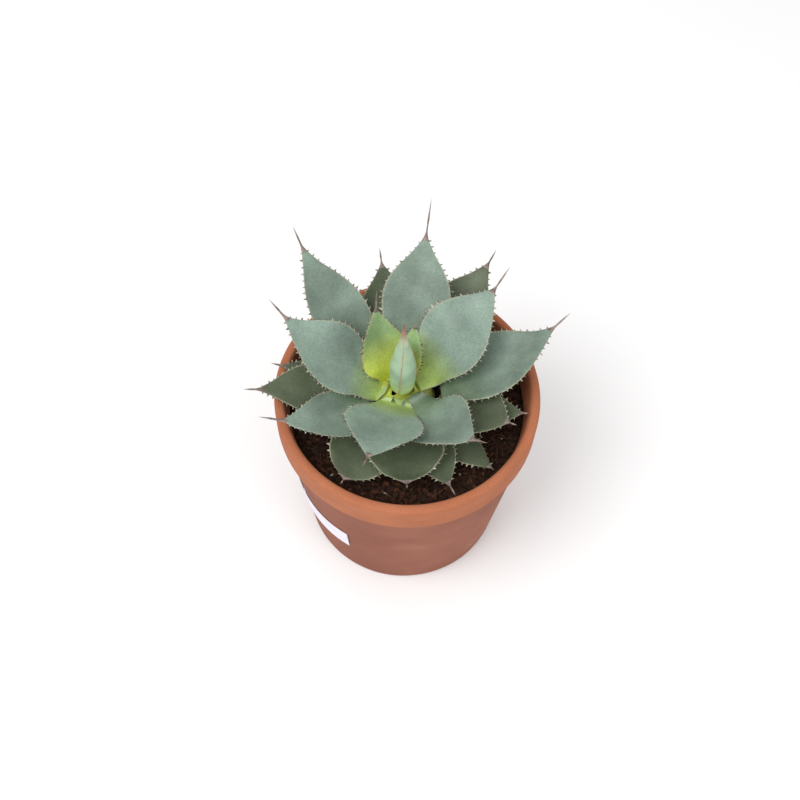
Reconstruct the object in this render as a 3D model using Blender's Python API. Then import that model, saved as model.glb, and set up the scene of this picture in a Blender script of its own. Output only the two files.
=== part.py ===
"""A potted agave: a toothed, spined rosette in a terracotta pot.

Metres, +Z up, +Y towards the back. The origin is the middle of the footprint, on the surface the
pot stands on. The spines reach further back than the pot does, so the pot's own axis stands a
little in front of it.
"""

import math

import bmesh
import bpy
from mathutils import Matrix, Vector

MM = 0.001
GAP = 0.3 * MM  # what lies between two pieces that touch

# Pot
POT_AXIS = Vector((0.0014, -0.0096, 0.0))
POT_HEIGHT = 150 * MM
RIM_RADIUS = 85 * MM
RIM_BAND = 24 * MM
BAND_STEP = 3.4 * MM
BASE_RADIUS = 69 * MM
WALL = 6.5 * MM
FLOOR = 8 * MM
DRAIN_RADIUS = 9 * MM
EDGE = 1.6 * MM  # rounding of the lip, the band and the foot
POT_SIDES = 56

# Potting mix
SOIL_BELOW_RIM = 17 * MM
SOIL_CLEAR_OF_FLOOR = GAP
SOIL_SIDES = 40

# Rosette: a domed crown carries every leaf base
CROWN_AXIS = POT_AXIS + Vector((-3.5 * MM, 0.0, 0.0))
CROWN_RADIUS = 19 * MM
CROWN_CENTRE = POT_HEIGHT - 16 * MM
CROWN_ROOT = 26 * MM  # how far the crown's root end reaches below its widest place
CROWN_SIDES = 32

# Bud: the leaves still rolled round each other
BUD_LENGTH = 64 * MM
BUD_RADIUS = 8.8 * MM
BUD_LEAN = 5.0  # degrees, backwards
BUD_SIDES = 16


# Leaf blades
BASE_WIDTH = 12 * MM
BASE_THICKNESS = 4.0 * MM
BLADE_THICKNESS = 4.4 * MM
SPINE_RADIUS = 1.0 * MM
BLADE_RINGS = 11
FACE_POINTS = 6  # steps across each face of a ring, from one margin to the other

# Each leaf, youngest first. A leaf stands one golden angle on from the one before it.
#   azimuth   the way it points, degrees from +X
#   reach     how far out its blade ends, from the crown's axis, mm
#   height    how high its blade ends, from the pot's rim, mm
#   seat      where on the dome it grows, degrees above the dome's widest place
#   width     across the blade, mm
#   widest    where it is widest, as a share of its length
#   point     how early it draws in to the tip: under 1 is blunt, over 1 drawn out
#   bow       how far its middle hangs below the straight line from seat to tip, mm
#   sweep     how far its middle stands off that line sideways, anticlockwise, mm
#   cup       how high its margins stand, as a share of half the width
#   roll      how far it leans over, right margin down, degrees
#   spine     length of the terminal spine, mm
LEAVES = (
    # azimuth reach height seat width widest point  bow sweep   cup  roll spine
    (  70,   19,    47,   63,  15,  0.42, 0.90,   1,    0,  0.20,    0,    4),
    ( 122,   33,    50,   54,  33,  0.38, 1.10,   1,    3,  0.35,    0,   13),
    (-105,   71,    42,   54,  48,  0.55, 1.20,  -1,    0,  0.26,    0,   12),
    (  40,   72,    49,   51,  48,  0.50, 1.10,   0,   -2,  0.30,    0,   17),
    ( 162,   77,    44,   45,  46,  0.50, 1.20,   0,    5,  0.30,    0,   15),
    ( -49,   66,    31,   47,  46,  0.44, 0.90,   0,   -4,  0.26,    0,   10),
    (  82,   87,    49,   43,  44,  0.55, 1.30,   2,    0,  0.28,    0,   24),
    (-154,   80,    20,   41,  38,  0.50, 1.00,   0,    7,  0.30,    8,   15),
    (  18,   98,    32,   38,  44,  0.50, 1.20,   1,   -7,  0.30,    0,   14),
    ( 131,  101,    45,   35,  37,  0.52, 1.20,   3,    3,  0.30,    0,   15),
    ( -86,   67,     4,   33,  48,  0.60, 0.65,   1,    0,  0.32,    0,    4),
    (  57,   98,    26,   30,  40,  0.55, 1.20,   3,    0,  0.30,    0,   11),
    (-175,   90,     9,   27,  38,  0.50, 1.20,   1,   -2,  0.20,    0,   10),
    ( -21,   71,     9,   25,  42,  0.55, 0.90,   0,    2,  0.28,    0,    6),
    ( 101,   84,    22,   23,  38,  0.55, 1.20,   2,    0,  0.25,    0,   11),
    (-119,   70,    -5,   22,  42,  0.60, 0.65,  -1,    0,  0.18,    0,    4),
    (  24,   78,     5,   19,  28,  0.55, 1.10,   1,    0,  0.18,    0,    7),
    ( 170,   78,     3,   16,  24,  0.55, 1.10,   1,   -2,  0.12,    0,    8),
    ( -64,   70,    -4,   17,  28,  0.55, 1.00,   0,    0,  0.20,    0,    9),
    (  72,   80,     4,   14,  34,  0.55, 1.10,   1,    0,  0.20,    0,    9),
    (-152,   56,   -10,   10,  24,  0.55, 1.00,   0,    0,  0.10,    0,    5),
    ( -11,   77,     2,   11,  28,  0.55, 1.00,   1,    0,  0.12,    0,    5),
    ( 122,   72,     1,    9,  32,  0.55, 1.00,   1,    0,  0.20,    0,    7),
    ( -40,   74,   -10,    4,  22,  0.55, 1.00,   0,    0,  0.08,    0,    3),
)

# Blank paper label on the pot's body, under the rim band
LABEL_TURNS = (-166.0, -119.0)  # degrees round the pot, from +X
LABEL_BOTTOM = 47 * MM
LABEL_HEIGHT = 24 * MM
LABEL_THICKNESS = 0.4 * MM
LABEL_COLUMNS = 12


def material(name, colour, roughness):
    made = bpy.data.materials.new(name)
    made.use_nodes = True
    shader = made.node_tree.nodes["Principled BSDF"]
    shader.inputs["Base Color"].default_value = (*colour, 1.0)
    shader.inputs["Roughness"].default_value = roughness
    shader.inputs["Metallic"].default_value = 0.0
    return made


def lofted(name, rings, finish, loop=False, crease=40.0):
    """A closed body through rings of points. A ring of one point is a pole; a loop joins its last
    ring to its first, as a turned ring does."""
    mesh = bmesh.new()
    made = [[mesh.verts.new(point) for point in ring] for ring in rings]
    pairs = list(zip(made, made[1:]))
    if loop:
        pairs.append((made[-1], made[0]))
    for low, high in pairs:
        count = max(len(low), len(high))
        for i in range(count):
            corners = []
            for corner in (
                low[i % len(low)],
                low[(i + 1) % len(low)],
                high[(i + 1) % len(high)],
                high[i % len(high)],
            ):
                if corner not in corners:
                    corners.append(corner)
            mesh.faces.new(corners)
    bmesh.ops.triangulate(mesh, faces=mesh.faces)
    bmesh.ops.recalc_face_normals(mesh, faces=mesh.faces)
    data = bpy.data.meshes.new(name)
    mesh.to_mesh(data)
    mesh.free()
    data.shade_smooth()
    data.set_sharp_from_angle(angle=math.radians(crease))
    data.materials.append(finish)
    body = bpy.data.objects.new(name, data)
    bpy.context.scene.collection.objects.link(body)
    return body


def turned_rings(profile, axis, sides):
    """Rings of a turned profile of (radius, height) points; a radius of 0 is a pole."""
    rings = []
    for radius, height in profile:
        if radius == 0:
            rings.append([axis + Vector((0, 0, height))])
            continue
        ring = []
        for i in range(sides):
            turn = 2 * math.pi * i / sides
            offset = Vector((radius * math.cos(turn), radius * math.sin(turn), height))
            ring.append(axis + offset)
        rings.append(ring)
    return rings


def band_bottom():
    return POT_HEIGHT - RIM_BAND


def body_radius(height):
    """The pot's outer radius at this height, below the rim band."""
    top = RIM_RADIUS - BAND_STEP
    return BASE_RADIUS + (top - BASE_RADIUS) * height / band_bottom()


def cavity_radius(height):
    """The radius of the pot's inside at this height."""
    return body_radius(min(height, band_bottom())) - WALL + max(0, height - band_bottom()) * 0.14


def pot():
    profile = [
        (DRAIN_RADIUS + EDGE, 0),
        (BASE_RADIUS - EDGE, 0),
        (BASE_RADIUS, EDGE),
        (body_radius(band_bottom() / 2), band_bottom() / 2),
        (body_radius(band_bottom()), band_bottom()),
        (RIM_RADIUS - EDGE, band_bottom()),
        (RIM_RADIUS, band_bottom() + EDGE),
        (RIM_RADIUS, POT_HEIGHT - 1.5 * EDGE),
        (RIM_RADIUS - 0.5 * EDGE, POT_HEIGHT - 0.5 * EDGE),
        (RIM_RADIUS - 1.5 * EDGE, POT_HEIGHT),
        (RIM_RADIUS - WALL + EDGE, POT_HEIGHT),
        (RIM_RADIUS - WALL + 0.2 * EDGE, POT_HEIGHT - 0.6 * EDGE),
        (cavity_radius(POT_HEIGHT - 2 * EDGE), POT_HEIGHT - 2 * EDGE),
        (cavity_radius(band_bottom()), band_bottom()),
        (cavity_radius(FLOOR + 4 * EDGE), FLOOR + 4 * EDGE),
        (cavity_radius(FLOOR) - 3 * EDGE, FLOOR),
        (DRAIN_RADIUS, FLOOR),
        (DRAIN_RADIUS, EDGE),
    ]
    finish = material("terracotta", (0.50, 0.17, 0.085), 0.8)
    return lofted("terracotta_pot", turned_rings(profile, POT_AXIS, POT_SIDES), finish, loop=True)


def soil():
    """The potting mix: it fills the pot, with a pocket that the crown's root end stands in."""
    top = POT_HEIGHT - SOIL_BELOW_RIM
    low = FLOOR + SOIL_CLEAR_OF_FLOOR
    pocket_radius = CROWN_RADIUS * 0.8 + GAP
    pocket_floor = CROWN_CENTRE - CROWN_ROOT - GAP
    facet = 1 / math.cos(math.pi / SOIL_SIDES)  # a flat-sided ring stays off the round wall
    shift = CROWN_AXIS - POT_AXIS
    profile = [
        (0, low),
        (cavity_radius(FLOOR) - 3 * EDGE - GAP * 4, low),
        (cavity_radius(FLOOR + 4 * EDGE) - GAP * facet * 2, FLOOR + 4 * EDGE + GAP),
        (cavity_radius(band_bottom()) - GAP * facet * 2, band_bottom()),
        (cavity_radius(top) - GAP * facet * 2, top),
        (cavity_radius(top) * 0.6, top + 0.5 * MM),
    ]
    rings = turned_rings(profile, POT_AXIS, SOIL_SIDES)
    pocket = [(pocket_radius, top - 0.5 * MM), (pocket_radius, pocket_floor), (0, pocket_floor)]
    rings += turned_rings(pocket, POT_AXIS + shift, SOIL_SIDES)
    return lofted("potting_soil", rings, material("potting_soil", (0.022, 0.012, 0.008), 0.95))


def crown():
    """The short stem: a root end in the soil's pocket under a dome that the leaves grow from."""
    root_radius = CROWN_RADIUS * 0.8
    profile = [
        (0, CROWN_CENTRE - CROWN_ROOT),
        (root_radius * 0.7, CROWN_CENTRE - CROWN_ROOT),
        (root_radius, CROWN_CENTRE - CROWN_ROOT + 4 * MM),
        (root_radius, CROWN_CENTRE - 1 * MM),
        (CROWN_RADIUS, CROWN_CENTRE + 2 * MM),
    ]
    for degrees in (18, 36, 54, 72):
        turn = math.radians(degrees)
        profile.append((CROWN_RADIUS * math.cos(turn), CROWN_CENTRE + CROWN_RADIUS * math.sin(turn)))
    profile.append((0, CROWN_CENTRE + CROWN_RADIUS))
    rings = turned_rings(profile, CROWN_AXIS, CROWN_SIDES)
    return lofted("stem_crown", rings, material("stem_crown", (0.42, 0.40, 0.16), 0.6))


def bud():
    """The closed cone of young leaves in the middle of the rosette."""
    finish = material("bud", (0.30, 0.38, 0.20), 0.5)
    root = CROWN_AXIS + Vector((0, 0, CROWN_CENTRE + CROWN_RADIUS + GAP))
    lean = Matrix.Rotation(math.radians(-BUD_LEAN), 3, "X")
    outline = (
        (0.0, 0.62),
        (0.06, 0.92),
        (0.18, 1.00),
        (0.36, 0.98),
        (0.54, 0.74),
        (0.70, 0.44),
        (0.84, 0.20),
        (0.94, 0.09),
    )
    rings = [[root + Vector((0, 0, 0.2 * MM))]]
    for along, share in outline:
        ring = []
        for i in range(BUD_SIDES):
            turn = 2 * math.pi * i / BUD_SIDES
            round_part = Vector((math.cos(turn), math.sin(turn), 0)) * BUD_RADIUS * share
            ring.append(root + lean @ (round_part + Vector((0, 0, along * BUD_LENGTH + 0.2 * MM))))
        rings.append(ring)
    rings.append([root + lean @ Vector((0, 0, BUD_LENGTH))])
    return lofted("central_bud", rings, finish)


def label():
    """A thin paper patch that follows the pot's body."""
    first, last = (math.radians(turn) for turn in LABEL_TURNS)
    rings = []
    for i in range(LABEL_COLUMNS + 1):
        turn = first + (last - first) * i / LABEL_COLUMNS
        outward = Vector((math.cos(turn), math.sin(turn), 0))
        ring = []
        for height, lift in ((0, 0), (0, 1), (1, 1), (1, 0)):
            up = LABEL_BOTTOM + height * LABEL_HEIGHT
            radius = body_radius(up) + GAP + lift * LABEL_THICKNESS
            ring.append(POT_AXIS + outward * radius + Vector((0, 0, up)))
        rings.append(ring)
    middles = [sum(ring, Vector()) / len(ring) for ring in (rings[0], rings[-1])]
    rings = [[middles[0]]] + rings + [[middles[1]]]
    return lofted("paper_label", rings, material("paper_label", (0.80, 0.76, 0.84), 0.6))


def outline_share(share, widest, point):
    """Half the blade's width at this share of its length, as a share of the widest half."""
    if share < widest:
        return math.sin(0.5 * math.pi * share / widest)
    return math.cos(0.5 * math.pi * (share - widest) / (1 - widest)) ** point


def leaf_ring(centre, side, face, half, thick, rise):
    """A ring round the blade: from one margin over the upper face, then back along the lower."""
    points = []
    for way in (1, -1):
        for i in range(FACE_POINTS):
            turn = math.pi * i / FACE_POINTS
            across = -way * math.cos(turn)
            lift = rise * across * across + way * 0.5 * thick * math.sin(turn)
            points.append(centre + side * (across * half) + face * lift)
    return points


def leaf(name, shape, finish):
    azimuth, reach, height, seat, width, widest, point, bow, sweep, cup, roll, spine = shape
    up = Vector((0, 0, 1))
    outward = Matrix.Rotation(math.radians(azimuth), 3, "Z") @ Vector((1, 0, 0))
    left = up.cross(outward)
    seat_turn = math.radians(seat)
    normal = outward * math.cos(seat_turn) + up * math.sin(seat_turn)
    root = CROWN_AXIS + up * CROWN_CENTRE + normal * (CROWN_RADIUS + GAP)
    tip = CROWN_AXIS + outward * (reach * MM) + up * (POT_HEIGHT + height * MM)
    chord = (tip - root).normalized()
    middle = (root + tip) / 2 + left.cross(chord) * (bow * 2 * MM) + left * (sweep * 2 * MM)

    def frame_at(share):
        """The midrib's point here, the way it runs, and the directions across and out of the face."""
        centre = root * (1 - share) ** 2 + middle * 2 * share * (1 - share) + tip * share**2
        along = ((middle - root) * (1 - share) + (tip - middle) * share).normalized()
        if share == 0:
            along = normal
        side = (along * left.dot(along) - left).normalized()
        lean = math.radians(roll) * math.sin(0.5 * math.pi * min(1, share / 0.4))
        side = Matrix.Rotation(lean, 3, along) @ side
        return centre, along, side, side.cross(along).normalized()

    rings = [[root]]
    for i in range(BLADE_RINGS):
        share = i / (BLADE_RINGS - 1)
        share += 0.03 * math.sin(2 * math.pi * share)
        share = min(max(share, 0.0), 1.0)
        centre, along, side, face = frame_at(share)
        blade = outline_share(share, widest, point) * width * MM / 2
        base = (1 - share) ** 2 * BASE_WIDTH / 2
        half = math.sqrt(blade**2 + base**2 + SPINE_RADIUS**2)
        thick = BASE_THICKNESS * (1 - share) + BLADE_THICKNESS * share * math.sqrt(1 - share)
        thick = max(thick, 2 * SPINE_RADIUS)
        rise = cup * half * min(1, 4 * share) * min(1, 5 * (1 - share))
        rings.append(leaf_ring(centre, side, face, half, thick, rise))
    centre, along, side, face = frame_at(1)
    half_way = centre + along * (spine * MM * 0.5)
    rings.append(leaf_ring(half_way, side, face, SPINE_RADIUS * 0.6, SPINE_RADIUS * 1.2, 0))
    rings.append([centre + along * (spine * MM)])
    return lofted(name, rings, finish, crease=60.0)


def main():
    for old in list(bpy.data.objects):
        bpy.data.objects.remove(old, do_unlink=True)
    pot()
    soil()
    crown()
    bud()
    label()
    for number, shape in enumerate(LEAVES, start=1):
        name = f"leaf_{number:02d}"
        leaf(name, shape, material(name, (0.18, 0.28, 0.20), 0.55))


main()
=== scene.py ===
import math
import random

import bpy
import numpy as np
from mathutils import Matrix, Vector, noise


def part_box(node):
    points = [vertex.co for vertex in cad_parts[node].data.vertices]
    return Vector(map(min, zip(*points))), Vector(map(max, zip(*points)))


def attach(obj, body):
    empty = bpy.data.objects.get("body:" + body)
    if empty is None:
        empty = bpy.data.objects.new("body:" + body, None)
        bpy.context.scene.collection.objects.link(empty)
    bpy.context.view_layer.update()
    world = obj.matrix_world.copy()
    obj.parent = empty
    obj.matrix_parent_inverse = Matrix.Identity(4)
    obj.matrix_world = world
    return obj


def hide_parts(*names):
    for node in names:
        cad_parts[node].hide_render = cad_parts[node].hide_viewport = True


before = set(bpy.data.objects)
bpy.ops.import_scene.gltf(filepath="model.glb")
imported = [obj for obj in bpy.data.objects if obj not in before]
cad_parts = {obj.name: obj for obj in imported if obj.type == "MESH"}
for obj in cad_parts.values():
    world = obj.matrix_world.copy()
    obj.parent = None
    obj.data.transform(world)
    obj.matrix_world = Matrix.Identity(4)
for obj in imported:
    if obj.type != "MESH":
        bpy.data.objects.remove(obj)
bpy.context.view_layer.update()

# Looks for the potted agave. Each leaf is a smooth loft through the rings of its own node in
# the frame. The bud, pot, soil and crown are worked out from their nodes in the same way.

MM = 0.001
FULL_TURN = 2 * math.pi
UP = Vector((0, 0, 1))

RIM_LOW, RIM_HIGH = (Vector(corner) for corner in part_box("terracotta_pot"))
POT_CENTRE = (RIM_LOW + RIM_HIGH) / 2
RIM_CENTRE = Vector((POT_CENTRE.x, POT_CENTRE.y, RIM_HIGH.z))
CROWN_LOW, CROWN_HIGH = (Vector(corner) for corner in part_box("stem_crown"))
CROWN_MIDDLE = (CROWN_LOW + CROWN_HIGH) / 2
CROWN_RADIUS = (CROWN_HIGH.x - CROWN_LOW.x) / 2

# Leaves, numbered from the youngest
LEAF_COUNT = 24
LAST_YOUNG = 2
LAST_INNER = 5
LAST_OUTER = 10
RING_POINTS = 12  # points round a leaf's ring in the frame
HALF_RING = RING_POINTS // 2
FACE_STEPS = 16  # steps across each face of a fine leaf
SUB_RINGS = 6  # fine rings for each ring in the frame
TOOTH_GAP = (2.4 * MM, 4.0 * MM)
TOOTH_SIZE = (1.3 * MM, 2.5 * MM)
TOOTHLESS_ROOT = 0.18  # share of the blade, from the root, that has no teeth
HORN_ROWS = 2  # fine rings of the blade that are already horny where the spine begins
BLADE, HORN, TEETH = range(3)  # a leaf's materials

# The roots of the inner leaves, which clasp the bud
CLASPING_LEAVES = (7, 6, 5, 4, 3, 2, 1)  # from the innermost shell on the crown to the outermost
ROOT_WIDTH = 0.52  # of the leaf's greatest width
ROOT_GROWTH = 0.08  # added for each ring away from the root
FOOT_WIDTH = 0.36
FOOT_OUT, FOOT_UP = 0.40, 0.92  # direction of the leaf's foot from the crown's middle
FOOT_PROUD = 1.4 * MM  # height of the leaf's foot over the crown
SHELL_ROWS = 18
SHELL_STEPS = 20
SHELL_THICKNESS = 1.5 * MM
SHELL_LIFT = 0.30 * MM  # of the innermost shell over the crown
SHELL_SPACING = 0.42 * MM
SHELL_FLARE = 1.2 * MM
SHELL_REACH = 1.15  # to each side of the leaf's heading, in radians
SHELL_TOP, SHELL_DROP = 0.36, 1.25  # from the crown's top, and on from there, in radians
CORE_INSET = 1.0 * MM  # of the whole dome under the shells

BUD_SIDES = 96
BUD_ROWS = 10  # fine rows for each ring in the frame
BUD_TIP_RADIUS = 0.2 * MM
BUD_EDGES = ((-1.95, 0.55), (0.25, -0.50), (2.30, 0.30))  # each lapped edge's turn and its lean
BUD_LAP = 0.09  # how proud an edge stands, as a share of the radius
BUD_FALL = 2.2  # how fast the lap falls away round the bud, per radian
BUD_SEAM = 0.10  # width of the red-brown line along an edge, in radians

POT_SIDES = 180
RIM_BAND = 24 * MM  # height of the band round the rim
POT_EASE = 1.2 * MM  # cut taken off each corner of the pot's outline
POT_WOBBLE = 0.12 * MM
POT_INSET = 0.15 * MM  # keeps the wobble inside the node's outline

SOIL_SIDES = 150
SOIL_RINGS = 46
SOIL_DEPTH = 20 * MM  # shown; the rest is out of sight in the pot
CRUMBS = 900
PALE_SHARE = 0.05
CRUMB_SIDES = 6
FIBRES = 260
FIBRE_STEPS = 6
FIBRE_THICKNESS = 0.16 * MM
FIBRE_SIDES = 3
EARTH, BARK, FIBRE, GRIT = range(4)  # the soil's materials


# ---------- materials ----------

def new_material(name, roughness, specular):
    made = bpy.data.materials.new(name)
    made.use_nodes = True
    tree = made.node_tree
    shader = tree.nodes["Principled BSDF"]
    shader.inputs["Roughness"].default_value = roughness
    shader.inputs["Specular IOR Level"].default_value = specular
    return made, tree, shader


def textured(tree, scale, detail, stretch=(1, 1, 1)):
    """A noise value in object space, stretched along the axes."""
    coords = tree.nodes.new("ShaderNodeTexCoord")
    mapping = tree.nodes.new("ShaderNodeMapping")
    mapping.inputs["Scale"].default_value = stretch
    pattern = tree.nodes.new("ShaderNodeTexNoise")
    pattern.inputs["Scale"].default_value = scale
    pattern.inputs["Detail"].default_value = detail
    tree.links.new(coords.outputs["Object"], mapping.inputs["Vector"])
    tree.links.new(mapping.outputs["Vector"], pattern.inputs["Vector"])
    return pattern.outputs["Fac"]


def marked(tree, label):
    """The value that each point of the mesh holds under this label."""
    node = tree.nodes.new("ShaderNodeAttribute")
    node.attribute_name = label
    return node.outputs["Fac"]


def ramp(tree, value, stops):
    """A colour ramp over the value. Each stop is a place with a colour or a grey."""
    node = tree.nodes.new("ShaderNodeValToRGB")
    elements = node.color_ramp.elements
    while len(elements) < len(stops):
        elements.new(0.5)
    for element, (place, colour) in zip(elements, stops):
        element.position = place
        if isinstance(colour, (int, float)):
            colour = (colour, colour, colour)
        element.color = (*colour, 1.0)
    tree.links.new(value, node.inputs["Fac"])
    return node.outputs["Color"]


def mixed(tree, share, first, second, how="MIX"):
    """Two colours mixed. Each input is a socket, a colour or a number."""
    node = tree.nodes.new("ShaderNodeMix")
    node.data_type = "RGBA"
    node.blend_type = how
    factor, colour_a, colour_b = node.inputs[0], node.inputs[6], node.inputs[7]
    for socket, value in ((factor, share), (colour_a, first), (colour_b, second)):
        if isinstance(value, bpy.types.NodeSocket):
            tree.links.new(value, socket)
        elif isinstance(value, tuple):
            socket.default_value = (*value, 1.0)
        else:
            socket.default_value = value
    return node.outputs[2]


def shaded(tree, tone, value, stops):
    """The tone made darker and lighter by a ramp of greys over the value."""
    return mixed(tree, 1.0, tone, ramp(tree, value, stops), "MULTIPLY")


def bumped(tree, shader, height, strength, distance):
    bump = tree.nodes.new("ShaderNodeBump")
    bump.inputs["Strength"].default_value = strength
    bump.inputs["Distance"].default_value = distance
    tree.links.new(height, bump.inputs["Height"])
    tree.links.new(bump.outputs["Normal"], shader.inputs["Normal"])


def leaf_material(name, root, blade, edge, turned=0.45):
    """Waxy skin: the root's colour turns into the blade's, with bloom in clouds and a horny rim."""
    made, tree, shader = new_material(name, 0.5, 0.35)
    stops = [(0.0, root), (0.10, root), (turned, blade), (1.0, blade)]
    tone = ramp(tree, marked(tree, "along"), stops)
    tone = shaded(tree, tone, textured(tree, 45, 5), [(0.35, 0.74), (0.65, 1.16)])
    tone = shaded(tree, tone, textured(tree, 900, 2), [(0.35, 0.88), (0.65, 1.10)])
    under = ramp(tree, marked(tree, "upper"), [(0.0, 1.0), (1.0, 0.0)])
    tone = mixed(tree, under, tone, mixed(tree, 0.35, tone, (0.52, 0.60, 0.55)))
    rim = ramp(tree, marked(tree, "across"), [(0.955, 0.0), (0.995, 1.0)])
    tone = mixed(tree, rim, tone, edge)
    tree.links.new(tone, shader.inputs["Base Color"])
    waxy = ramp(tree, textured(tree, 60, 3), [(0.3, 0.42), (0.7, 0.62)])
    tree.links.new(waxy, shader.inputs["Roughness"])
    bumped(tree, shader, textured(tree, 260, 6), 0.25, 0.6 * MM)
    return made


def bud_material():
    """Yellow at the foot, grey-green above, red-brown at the tip and along the lapped edges."""
    made, tree, shader = new_material("bud", 0.5, 0.35)
    tone = ramp(
        tree,
        marked(tree, "along"),
        [
            (0.0, (0.80, 0.84, 0.12)),
            (0.12, (0.55, 0.70, 0.26)),
            (0.34, (0.36, 0.52, 0.36)),
            (0.66, (0.38, 0.50, 0.34)),
            (0.82, (0.38, 0.17, 0.13)),
            (1.0, (0.20, 0.07, 0.06)),
        ],
    )
    tone = shaded(tree, tone, textured(tree, 120, 5), [(0.35, 0.85), (0.65, 1.12)])
    tone = mixed(tree, marked(tree, "seam"), tone, (0.45, 0.22, 0.12))
    tree.links.new(tone, shader.inputs["Base Color"])
    bumped(tree, shader, textured(tree, 400, 5), 0.2, 0.4 * MM)
    return made


def horn_material(name, dark, pale):
    """Spines and teeth: horny, paler in patches."""
    made, tree, shader = new_material(name, 0.45, 0.5)
    tone = ramp(tree, textured(tree, 300, 4), [(0.35, dark), (0.7, pale)])
    tree.links.new(tone, shader.inputs["Base Color"])
    bumped(tree, shader, textured(tree, 900, 3), 0.2, 0.3 * MM)
    return made


def clay_material():
    """Fired clay: the body is painted darker than the band, as painted shade below the rim band's
    lip; both with patches, streaks, pores and bloom.
    """
    made, tree, shader = new_material("terracotta", 0.82, 0.25)
    patches = textured(tree, 14, 6)
    # The body's darker tones are painted shade under the rim band; the band's tones stand for the
    # clay's own colour.
    body = ramp(tree, patches, [(0.30, (0.235, 0.082, 0.050)), (0.75, (0.330, 0.125, 0.080))])
    band = ramp(tree, patches, [(0.30, (0.350, 0.115, 0.052)), (0.75, (0.450, 0.160, 0.078))])
    tone = mixed(tree, marked(tree, "band"), body, band)
    tone = shaded(tree, tone, textured(tree, 40, 5, (1, 1, 3)), [(0.35, 0.94), (0.65, 1.04)])
    tone = shaded(tree, tone, textured(tree, 1500, 3), [(0.30, 0.80), (0.50, 1.0)])
    bloom = ramp(tree, textured(tree, 22, 7), [(0.60, 0.0), (0.80, 0.30)])
    tone = mixed(tree, bloom, tone, (0.52, 0.30, 0.22))
    tree.links.new(tone, shader.inputs["Base Color"])
    bumped(tree, shader, textured(tree, 700, 6), 0.35, 0.5 * MM)
    return made


def soil_material(name, dark, warm):
    """Rough matter for the mix and what lies on it."""
    made, tree, shader = new_material(name, 0.95, 0.15)
    tone = ramp(tree, textured(tree, 420, 7), [(0.35, dark), (0.70, warm)])
    tree.links.new(tone, shader.inputs["Base Color"])
    bumped(tree, shader, textured(tree, 800, 8), 0.9, 1.5 * MM)
    return made


def paper_material():
    """A blank, pale lilac label."""
    made, tree, shader = new_material("label_paper", 0.6, 0.3)
    tone = ramp(tree, textured(tree, 90, 5), [(0.3, (0.74, 0.70, 0.80)), (0.7, (0.84, 0.80, 0.88))])
    tree.links.new(tone, shader.inputs["Base Color"])
    bumped(tree, shader, textured(tree, 1200, 4), 0.2, 0.3 * MM)
    return made


# ---------- making and reading meshes ----------

class Shape:
    """A mesh in the making: points with their marks, and faces with their materials."""

    def __init__(self, *labels):
        self.points = []
        self.faces = []
        self.finishes = []
        self.marks = {label: [] for label in labels}

    def add_point(self, place, **marks):
        """A point whose marks are 1 unless they are given."""
        self.points.append(tuple(place))
        for label, values in self.marks.items():
            values.append(marks.get(label, 1.0))

    def add_face(self, corners, finish=0):
        self.faces.append(tuple(corners))
        self.finishes.append(finish)

    def add_strip(self, first, second, count, finish=0):
        """Faces between two closed rings, each given by its first point."""
        for i in range(count):
            j = (i + 1) % count
            self.add_face((first + i, first + j, second + j, second + i), finish)

    def add_turned_strip(self, first, second, count, finish=0):
        """As add_strip, with its faces turned the other way."""
        for i in range(count):
            j = (i + 1) % count
            self.add_face((first + i, second + i, second + j, first + j), finish)

    def piece(self, name, materials):
        """The smooth-shaded piece, riding on the root body."""
        data = bpy.data.meshes.new(name)
        data.from_pydata(self.points, [], self.faces)
        for finish in materials:
            data.materials.append(finish)
        data.polygons.foreach_set("material_index", self.finishes)
        for label, values in self.marks.items():
            layer = data.attributes.new(label, "FLOAT", "POINT")
            layer.data.foreach_set("value", values)
        data.validate()
        data.shade_smooth()
        made = bpy.data.objects.new(name, data)
        bpy.context.scene.collection.objects.link(made)
        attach(made, "root")
        return made


def mean(points):
    return sum(points, Vector()) / len(points)


def welded_mesh(node):
    """A frame node's points with doubles made one, and the neighbours of each."""
    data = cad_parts[node].data
    found = {}
    points = []
    index = []
    for vertex in data.vertices:
        key = tuple(round(value * 1e6) for value in vertex.co)
        if key not in found:
            found[key] = len(points)
            points.append(Vector(vertex.co))
        index.append(found[key])
    near = [set() for _ in points]
    for edge in data.edges:
        a, b = (index[i] for i in edge.vertices)
        if a != b:
            near[a].add(b)
            near[b].add(a)
    return points, near


def walk(first, near, allowed):
    """The points met one after another from the first, each a neighbour of the last."""
    order = [first]
    while True:
        follow = [i for i in sorted(near[order[-1]] & allowed) if i not in order]
        if not follow:
            return order
        order.append(follow[0])


def matched(ring, model):
    """The ring turned, and if need be reversed, so that its points follow the model ring's."""
    middle = mean(ring)
    centre = mean(model)
    best = None
    for way in (ring, ring[::-1]):
        for shift in range(len(ring)):
            turned = way[shift:] + way[:shift]
            cost = sum(((a - middle) - (b - centre)).length for a, b in zip(turned, model))
            if best is None or cost < best[0]:
                best = (cost, turned)
    return best[1]


def rings_from(points, near, pole):
    """The rings of points round a pole, each in order and matched to the one before it."""
    seen = {pole}
    rings = []
    layer = sorted(near[pole])
    while len(layer) > 1:
        seen.update(layer)
        ring = [points[i] for i in walk(layer[0], near, set(layer))]
        if rings and len(ring) == len(rings[-1]):
            ring = matched(ring, rings[-1])
        rings.append(ring)
        layer = sorted({other for i in layer for other in near[i]} - seen)
    return rings


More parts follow.
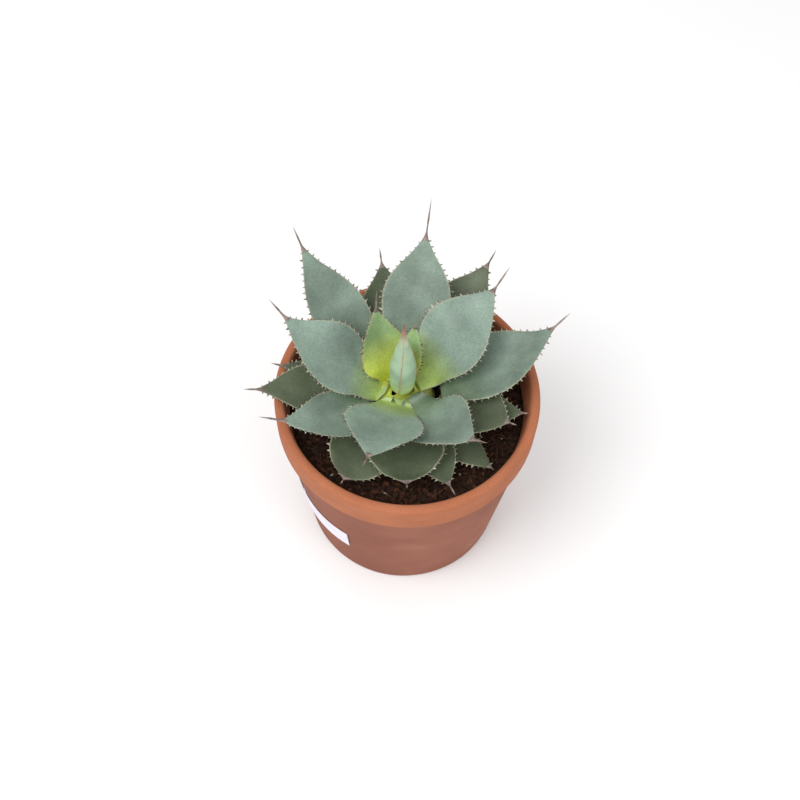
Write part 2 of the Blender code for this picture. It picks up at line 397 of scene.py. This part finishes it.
def spline(rows, steps):
    """Catmull-Rom through the rows of an array, with this many steps between rows."""
    rows = np.asarray(rows, float)
    ends = np.concatenate([[2 * rows[0] - rows[1]], rows, [2 * rows[-1] - rows[-2]]])
    made = []
    for i in range(1, len(ends) - 2):
        p0, p1, p2, p3 = ends[i - 1 : i + 3]
        slope = p2 - p0
        square = 2 * p0 - 5 * p1 + 4 * p2 - p3
        cube = 3 * p1 - p0 - 3 * p2 + p3
        for t in np.arange(steps) / steps:
            made.append(0.5 * (2 * p1 + slope * t + square * t**2 + cube * t**3))
    made.append(ends[-2])
    return np.array(made)


# ---------- leaves ----------

def leaf_rings(name):
    """A leaf node's rings from root to spine, each starting at the left margin, and its tip."""
    points, near = welded_mesh(name)
    poles = [i for i, others in enumerate(near) if len(others) == RING_POINTS]
    tip = max(poles, key=lambda i: (points[i] - CROWN_MIDDLE).length)
    rings = [ring for ring in rings_from(points, near, tip)[::-1] if len(ring) == RING_POINTS]

    def span(ring, i):
        return (ring[i] - ring[i + HALF_RING]).length

    wide = max(rings, key=lambda ring: max(span(ring, i) for i in range(HALF_RING)))
    margin = max(range(HALF_RING), key=lambda i: span(wide, i))
    rings = [ring[margin:] + ring[:margin] for ring in rings]
    wide = wide[margin:] + wide[:margin]
    first_face = mean(wide[1:HALF_RING]) - mean(wide[HALF_RING + 1 :])
    inward = CROWN_MIDDLE - wide[0]
    inward.z = 0
    if first_face.dot(UP + inward.normalized()) < 0:
        rings = [ring[HALF_RING:] + ring[:HALF_RING] for ring in rings]
    return rings, points[tip]


def widened(ring, width):
    """The ring stretched from margin to margin."""
    middle = mean(ring)
    side = ring[0] - ring[HALF_RING]
    stretch = width / side.length
    side.normalize()
    return [point + side * ((point - middle).dot(side) * (stretch - 1)) for point in ring]


def clasping(rings):
    """Broad rings near the root, and one more that reaches over the crown to the bud's foot."""
    widths = [(ring[0] - ring[HALF_RING]).length for ring in rings]
    most = max(widths)
    broad = []
    for spot, (ring, width) in enumerate(zip(rings, widths)):
        if spot < widths.index(most):
            width = max(width, (ROOT_WIDTH + ROOT_GROWTH * spot) * most)
        broad.append(widened(ring, width))
    root = mean(broad[0])
    out = Vector((root.x - CROWN_MIDDLE.x, root.y - CROWN_MIDDLE.y, 0)).normalized()
    height = CROWN_HIGH.z - CROWN_MIDDLE.z + FOOT_PROUD
    foot = CROWN_MIDDLE + (out * FOOT_OUT + UP * FOOT_UP) * height
    return [[point - root + foot for point in widened(broad[0], FOOT_WIDTH * most)], *broad]


def across_face(ring):
    """Points across one face of a ring, from margin to margin."""
    rows = spline(ring, 8)
    places = np.linspace(0, len(rows) - 1, FACE_STEPS + 1)
    low = np.floor(places).astype(int)
    high = np.minimum(low + 1, len(rows) - 1)
    part = (places - low)[:, None]
    return rows[low] * (1 - part) + rows[high] * part


def fine_rings(rings, tip):
    """Smooth rings through the leaf's rings: the upper face left to right, then the lower back."""
    grid = []
    for ring in rings:
        upper = across_face(ring[: HALF_RING + 1])
        lower = across_face(ring[HALF_RING:] + ring[:1])
        grid.append(np.concatenate([upper[:-1], lower[:-1]]))
    grid.append(np.repeat(np.array([tip]), 2 * FACE_STEPS, 0))
    return spline(np.array(grid), SUB_RINGS)[:-1]


def add_tooth(shape, root, out, forward, size):
    """A small flattened hook on the margin, which leans towards the leaf's tip."""
    start = len(shape.points)
    foot = root - out * size * 0.25
    half_length = forward * size * 0.42
    half_thickness = out.cross(forward).normalized() * size * 0.16
    for offset in (half_length, half_thickness, -half_length, -half_thickness):
        shape.add_point(foot + offset)
    middle, point = start + 4, start + 5
    shape.add_point(root + out * size * 0.55 + forward * size * 0.10)
    shape.add_point(root + out * size + forward * size * 0.45)
    for i in range(4):
        a, b = start + i, start + (i + 1) % 4
        shape.add_face((a, b, middle), TEETH)
        shape.add_face((a, middle, point), TEETH)
        shape.add_face((b, point, middle), TEETH)
    shape.add_face((start + 3, start + 2, start + 1, start), TEETH)


def add_teeth(shape, margin, opposite):
    """Teeth at uneven gaps along one margin of the blade."""
    run, due = 0.0, 0.0
    for row in range(int((len(margin) - 1) * TOOTHLESS_ROOT), len(margin) - 2):
        step = margin[row + 1] - margin[row]
        run += step.length
        if run < due:
            continue
        due = run + rng.uniform(*TOOTH_GAP)
        out = (margin[row] - opposite[row]).normalized()
        add_tooth(shape, margin[row], out, step.normalized(), rng.uniform(*TOOTH_SIZE))


def fine_leaf(number, finishes):
    """A smooth toothed leaf through the rings of its frame node."""
    name = f"leaf_{number:02d}"
    rings, tip = leaf_rings(name)
    if number in CLASPING_LEAVES:
        rings = clasping(rings)
    rows = fine_rings(rings, tip)
    blade_end = (len(rings) - 2) * SUB_RINGS
    count = 2 * FACE_STEPS
    shape = Shape("along", "across", "upper")
    for row, ring in enumerate(rows):
        for i, point in enumerate(ring):
            side = 1 - 2 * (i % FACE_STEPS) / FACE_STEPS
            shape.add_point(
                point,
                along=min(1.0, row / blade_end),
                across=abs(math.sin(math.pi / 2 * side)) if row < blade_end else 1.0,
                upper=1.0 if i <= FACE_STEPS else 0.0,
            )
    for row in range(len(rows) - 1):
        finish = HORN if row >= blade_end - HORN_ROWS else BLADE
        shape.add_strip(row * count, (row + 1) * count, count, finish)
    last = (len(rows) - 1) * count
    shape.add_point(tip)
    for i in range(count):
        shape.add_face((last + i, last + (i + 1) % count, last + count), HORN)
    shape.add_face(reversed(range(count)), BLADE)
    left = [Vector(ring[0]) for ring in rows[: blade_end + 1]]
    right = [Vector(ring[FACE_STEPS]) for ring in rows[: blade_end + 1]]
    add_teeth(shape, left, right)
    add_teeth(shape, right, left)
    if number <= LAST_YOUNG:
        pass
    elif number <= LAST_OUTER:
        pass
    else:
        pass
    piece = shape.piece("agave_" + name, finishes)
    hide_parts(name)


# ---------- bud and crown ----------

def lapped(turn, share):
    """How proud the bud stands here, and how near this is to a lapped edge."""
    proud, edge_share = 0.0, 0.0
    for edge, lean in BUD_EDGES:
        gap = (turn - edge - lean * share) % FULL_TURN
        proud = max(proud, BUD_LAP * math.exp(-gap * BUD_FALL))
        edge_share = max(edge_share, math.exp(-((gap / BUD_SEAM) ** 2)))
    return proud, edge_share


def fine_bud():
    """The bud as leaves rolled round each other: each one's edge stands a little proud."""
    points, near = welded_mesh("central_bud")
    top = max(range(len(points)), key=lambda i: points[i].z)
    rings = rings_from(points, near, top)[::-1]
    rings = [ring for ring in rings if len(ring) == len(rings[0])]
    centres = [mean(ring) for ring in rings]
    radii = [
        [sum((point - centre).length for point in ring) / len(ring)]
        for ring, centre in zip(rings, centres)
    ]
    middles = spline([*centres, points[top]], BUD_ROWS)
    sizes = spline([*radii, [BUD_TIP_RADIUS]], BUD_ROWS)[:, 0]
    rows = len(middles)
    shape = Shape("along", "seam")
    for row, (middle, size) in enumerate(zip(middles, sizes)):
        share = row / (rows - 1)
        for i in range(BUD_SIDES):
            turn = FULL_TURN * i / BUD_SIDES
            proud, edge_share = lapped(turn, share)
            radius = max(size, BUD_TIP_RADIUS) * (1 - BUD_LAP + proud)
            out = Vector((math.cos(turn), math.sin(turn), 0))
            shape.add_point(Vector(middle) + out * radius, along=share, seam=edge_share)
    for row in range(rows - 1):
        shape.add_strip(row * BUD_SIDES, (row + 1) * BUD_SIDES, BUD_SIDES)
    shape.add_face(reversed(range(BUD_SIDES)))
    shape.add_face(range((rows - 1) * BUD_SIDES, rows * BUD_SIDES))
    piece = shape.piece("agave_bud", [bud_material()])
    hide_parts("central_bud")


def leaf_heading(number):
    """The direction in which a leaf leaves the crown, seen from above."""
    points, _ = welded_mesh(f"leaf_{number:02d}")
    nearest = sorted(points, key=lambda point: (point - CROWN_MIDDLE).length)[:RING_POINTS]
    root = mean(nearest)
    return math.atan2(root.y - CROWN_MIDDLE.y, root.x - CROWN_MIDDLE.x)


def add_shell(shape, heading, radius, reach, top, drop, flare, thinned):
    """A thick part of a dome round the crown, from near its top downwards.

    A thinned shell narrows to nothing at its sides.
    """
    start = len(shape.points)
    count = 2 * (SHELL_STEPS + 1)
    sides = [2 * step / SHELL_STEPS - 1 for step in range(SHELL_STEPS + 1)]
    outer = [(side, SHELL_THICKNESS * (1 - thinned * side**6)) for side in sides]
    inner = [(side, 0.0) for side in reversed(sides)]
    for row in range(SHELL_ROWS + 1):
        share = row / SHELL_ROWS
        lean = top + share * drop
        for side, thickness in outer + inner:
            turn = heading + side * reach * (0.80 + 0.20 * share)
            size = radius + flare * (1 - share) ** 2 + thickness
            way = Vector((math.cos(turn), math.sin(turn), 0)) * math.sin(lean)
            way.z = math.cos(lean)
            shape.add_point(CROWN_MIDDLE + way * size, along=share / 2, across=abs(side) * thinned)
    for row in range(SHELL_ROWS):
        shape.add_turned_strip(start + row * count, start + (row + 1) * count, count)
    shape.add_face(range(start, start + count))
    last = start + SHELL_ROWS * count
    shape.add_face(reversed(range(last, last + count)))


def clasping_bases(finish):
    """The crown, wrapped in the broad bases of the inner leaves, one shell over another."""
    shape = Shape("along", "across", "upper")
    for spot, number in enumerate(CLASPING_LEAVES):
        add_shell(
            shape,
            heading=leaf_heading(number),
            radius=CROWN_RADIUS + SHELL_LIFT + SHELL_SPACING * spot,
            reach=SHELL_REACH,
            top=SHELL_TOP,
            drop=SHELL_DROP,
            flare=SHELL_FLARE,
            thinned=1,
        )
    add_shell(
        shape,
        heading=0.0,
        radius=CROWN_RADIUS - CORE_INSET,
        reach=math.pi,
        top=0.0,
        drop=math.pi - 0.02,
        flare=0.0,
        thinned=0,
    )
    piece = shape.piece("clasping_bases", [finish])
    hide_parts("stem_crown")


# ---------- pot, soil and label ----------

def pot_outline():
    """The pot's section in the frame, as radius and height, with its corners eased."""
    points, near = welded_mesh("terracotta_pot")
    section = {
        i
        for i, point in enumerate(points)
        if abs(point.y - POT_CENTRE.y) < 0.1 * MM and point.x > POT_CENTRE.x
    }
    first = min(section, key=lambda i: (round(points[i].z, 4), points[i].x))
    order = walk(first, near, section)
    outline = [np.array([points[i].x - POT_CENTRE.x, points[i].z]) for i in order]
    for most_cut in (0.22, 0.25):
        eased = []
        for i, point in enumerate(outline):
            side = outline[(i + 1) % len(outline)] - point
            cut = min(most_cut, POT_EASE / float(np.hypot(*side)))
            eased += [point + side * cut, point + side * (1 - cut)]
        outline = eased
    return outline


def fine_pot():
    """The pot's outline turned again with more sides, and a little unevenness."""
    outline = pot_outline()
    band_foot = RIM_HIGH.z - RIM_BAND - 0.3 * MM
    shape = Shape("band")
    for radius, height in outline:
        # band marks the rim band; below it the clay material paints the body darker as painted
        # shade.
        band = 1.0 if height > band_foot else 0.0
        for i in range(POT_SIDES):
            turn = FULL_TURN * i / POT_SIDES
            place = Vector((math.cos(turn) * 2.2, math.sin(turn) * 2.2, height * 18))
            size = radius - POT_INSET + POT_WOBBLE * noise.noise(place)
            x = POT_CENTRE.x + size * math.cos(turn)
            y = POT_CENTRE.y + size * math.sin(turn)
            shape.add_point((x, y, height), band=band)
    for row in range(len(outline)):
        following = (row + 1) % len(outline)
        shape.add_strip(row * POT_SIDES, following * POT_SIDES, POT_SIDES)
    piece = shape.piece("pot", [clay_material()])
    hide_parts("terracotta_pot")


def soil_height(x, y, top):
    """The height of the mix at a place, without its finest lumps."""
    place = Vector((x, y, 0)) * 60
    return top - 0.6 * MM + 1.1 * MM * noise.noise(place) + 0.7 * MM * noise.noise(place * 4)


def add_ground(shape, centre, radius, top):
    """The lumpy surface of the mix, with a wall and a floor out of sight below it."""
    for row in range(SOIL_RINGS + 1):
        for i in range(SOIL_SIDES):
            turn = FULL_TURN * i / SOIL_SIDES
            x = centre.x + radius * (row / SOIL_RINGS) * math.cos(turn)
            y = centre.y + radius * (row / SOIL_RINGS) * math.sin(turn)
            lump = MM * noise.noise(Vector((x, y, 3)) * 400)
            shape.add_point((x, y, soil_height(x, y, top) + lump))
    for row in range(SOIL_RINGS):
        shape.add_turned_strip(row * SOIL_SIDES, (row + 1) * SOIL_SIDES, SOIL_SIDES, EARTH)
    foot = len(shape.points)
    for i in range(SOIL_SIDES):
        turn = FULL_TURN * i / SOIL_SIDES
        out = Vector((math.cos(turn), math.sin(turn), 0))
        shape.add_point(Vector((centre.x, centre.y, top - SOIL_DEPTH)) + out * (radius - 4 * MM))
    shape.add_turned_strip(foot - SOIL_SIDES, foot, SOIL_SIDES, EARTH)
    shape.add_face(reversed(range(foot, foot + SOIL_SIDES)), EARTH)


def add_crumb(shape, centre, radius, top):
    """A flat, uneven crumb of bark, or now and then a pale grit, lying on the mix."""
    turn = rng.uniform(0, FULL_TURN)
    far = (radius - 3 * MM) * math.sqrt(rng.uniform(0.08, 1))
    x = centre.x + far * math.cos(turn)
    y = centre.y + far * math.sin(turn)
    where = Vector((x, y, soil_height(x, y, top) + 0.2 * MM))
    pale = rng.random() < PALE_SHARE
    size = rng.uniform(0.5, 1.1) * MM if pale else rng.uniform(0.8, 2.6) * MM
    turned = Matrix.Rotation(rng.uniform(0, 6.28), 3, "Z")
    turned = turned @ Matrix.Rotation(rng.uniform(-0.6, 0.6), 3, "X")
    low = len(shape.points)
    high = low + CRUMB_SIDES
    for layer in range(2):
        for spot in range(CRUMB_SIDES):
            angle = spot * math.pi / 3
            wide = rng.uniform(0.6, 1.1) * size
            tall = size * rng.uniform(0.35, 0.6)
            x = math.cos(angle) * wide * 1.4
            y = math.sin(angle) * wide * 0.8
            shape.add_point(where + turned @ Vector((x, y, (layer - 0.4) * tall)))
    finish = GRIT if pale else BARK
    shape.add_strip(low, high, CRUMB_SIDES, finish)
    shape.add_face(reversed(range(low, high)), finish)
    shape.add_face(range(high, high + CRUMB_SIDES), finish)


def add_fibre(shape, centre, radius, top):
    """A thin bent fibre that arches a little over the mix."""
    turn = rng.uniform(0, FULL_TURN)
    far = (radius - 8 * MM) * math.sqrt(rng.uniform(0.1, 1))
    where = Vector((centre.x + far * math.cos(turn), centre.y + far * math.sin(turn), 0))
    heading = rng.uniform(0, 6.28)
    bend = rng.uniform(-1.2, 1.2)
    length = rng.uniform(4, 11) * MM
    start = len(shape.points)
    for step in range(FIBRE_STEPS + 1):
        share = step / FIBRE_STEPS
        angle = heading + bend * share
        where += Vector((math.cos(angle), math.sin(angle), 0)) * length / FIBRE_STEPS
        arch = 1.0 * MM + 1.2 * MM * math.sin(math.pi * share)
        middle = Vector((where.x, where.y, soil_height(where.x, where.y, top) + arch))
        level = Vector((-math.sin(angle), math.cos(angle), 0))
        for k in range(FIBRE_SIDES):
            lean = FULL_TURN * k / FIBRE_SIDES
            out = level * math.cos(lean) + UP * math.sin(lean)
            shape.add_point(middle + out * FIBRE_THICKNESS)
    last = start + FIBRE_STEPS * FIBRE_SIDES
    for first in range(start, last, FIBRE_SIDES):
        shape.add_strip(first, first + FIBRE_SIDES, FIBRE_SIDES, FIBRE)
    shape.add_face(reversed(range(start, start + FIBRE_SIDES)), FIBRE)
    shape.add_face(range(last, last + FIBRE_SIDES), FIBRE)


def fine_soil(finishes):
    """The mix with its crumbs and fibres."""
    low, high = (Vector(corner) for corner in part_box("potting_soil"))
    place = ((low + high) / 2, (high.x - low.x) / 2, high.z)
    shape = Shape()
    add_ground(shape, *place)
    for _ in range(CRUMBS):
        add_crumb(shape, *place)
    for _ in range(FIBRES):
        add_fibre(shape, *place)
    piece = shape.piece("soil", finishes)
    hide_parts("potting_soil")


def restyle(node, finish):
    """A frame node whose shape is right, in a better material."""
    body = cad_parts[node]
    body.data.materials.clear()
    body.data.materials.append(finish)


# ---------- stage, light and camera ----------

def floor():
    size = 4.0
    made = bpy.data.meshes.new("floor")
    corners = [(-size, -size, 0), (size, -size, 0), (size, size, 0), (-size, size, 0)]
    made.from_pydata(corners, [], [(0, 1, 2, 3)])
    finish, tree, shader = new_material("pale_floor", 0.9, 0.1)
    tone = ramp(tree, textured(tree, 3, 2), [(0.0, 0.86), (1.0, 0.90)])
    tree.links.new(tone, shader.inputs["Base Color"])
    made.materials.append(finish)
    plane = bpy.data.objects.new("floor", made)
    bpy.context.scene.collection.objects.link(plane)


def sky():
    world = bpy.data.worlds.new("soft_sky")
    world.use_nodes = True
    background = world.node_tree.nodes["Background"]
    background.inputs["Color"].default_value = (1.0, 1.0, 1.0, 1.0)
    background.inputs["Strength"].default_value = 0.85
    bpy.context.scene.world = world
    bpy.context.scene.view_settings.view_transform = "Standard"


def softbox(name, place, power):
    """A round soft light turned towards the rim."""
    lamp = bpy.data.lights.new(name, "AREA")
    lamp.shape = "DISK"
    lamp.size = 1.0
    lamp.energy = power
    holder = bpy.data.objects.new(name, lamp)
    holder.location = place
    holder.rotation_euler = (RIM_CENTRE - Vector(place)).to_track_quat("-Z", "Y").to_euler()
    bpy.context.scene.collection.objects.link(holder)


def camera():
    """Looks down on the rim from the front, turned a little about its own axis."""
    rise = math.radians(60.5)
    roll = math.radians(1.9)
    distance = 0.702
    offset_right, offset_up = 4.8 * MM, 6.0 * MM  # from the view's middle to the rim's centre
    ahead = Vector((0, math.cos(rise), -math.sin(rise)))
    level = Vector((1, 0, 0))
    steep = Vector((0, math.sin(rise), math.cos(rise)))
    right = level * math.cos(roll) + steep * math.sin(roll)
    up = steep * math.cos(roll) - level * math.sin(roll)
    made = bpy.data.cameras.new("camera")
    made.lens = 49.7
    made.sensor_width = 36.0
    holder = bpy.data.objects.new("camera", made)
    turned = Matrix((right, up, -ahead)).transposed().to_4x4()
    turned.translation = RIM_CENTRE - ahead * distance - right * offset_right - up * offset_up
    holder.matrix_world = turned
    bpy.context.scene.collection.objects.link(holder)
    bpy.context.scene.camera = holder


# ---------- the scene ----------

rng = random.Random(7)
spine_horn = horn_material("spine_horn", (0.10, 0.065, 0.055), (0.30, 0.24, 0.20))
teeth_horn = horn_material("teeth_horn", (0.24, 0.22, 0.17), (0.62, 0.58, 0.48))
young = leaf_material(
    "leaf_young", (0.72, 0.76, 0.07), (0.30, 0.44, 0.20), (0.40, 0.30, 0.14), turned=0.75
)
inner = leaf_material(
    "leaf_inner", (0.36, 0.48, 0.12), (0.215, 0.290, 0.238), (0.34, 0.36, 0.26), turned=0.36
)
outer = leaf_material("leaf_outer", (0.16, 0.23, 0.14), (0.185, 0.248, 0.198), (0.33, 0.35, 0.24))
# The old, outermost leaves lie lowest, under the others: their dark green is partly their own
# colour and partly painted shade.
old_shaded_skin = leaf_material("leaf_old_shaded", (0.090, 0.115, 0.050), (0.090, 0.112, 0.064), (0.34, 0.34, 0.20))
for leaf_number in range(1, LEAF_COUNT + 1):
    if leaf_number <= LAST_YOUNG:
        skin = young
    elif leaf_number <= LAST_INNER:
        skin = inner
    elif leaf_number <= LAST_OUTER:
        skin = outer
    else:
        skin = old_shaded_skin
    fine_leaf(leaf_number, [skin, spine_horn, teeth_horn])

fine_bud()
fine_pot()
fine_soil(
    [
        soil_material("potting_mix", (0.010, 0.005, 0.003), (0.050, 0.024, 0.014)),
        soil_material("bark", (0.020, 0.009, 0.005), (0.110, 0.045, 0.025)),
        soil_material("fibres", (0.070, 0.035, 0.020), (0.200, 0.115, 0.070)),
        soil_material("grit", (0.300, 0.280, 0.250), (0.600, 0.580, 0.540)),
    ]
)
clasping_bases(
    leaf_material("crown_skin", (0.50, 0.55, 0.08), (0.16, 0.23, 0.16), (0.42, 0.40, 0.14))
)
restyle("paper_label", paper_material())

floor()
sky()
softbox("key", (-0.7, -0.5, 1.5), 14)
softbox("fill", (0.9, -0.9, 0.9), 4)
camera()
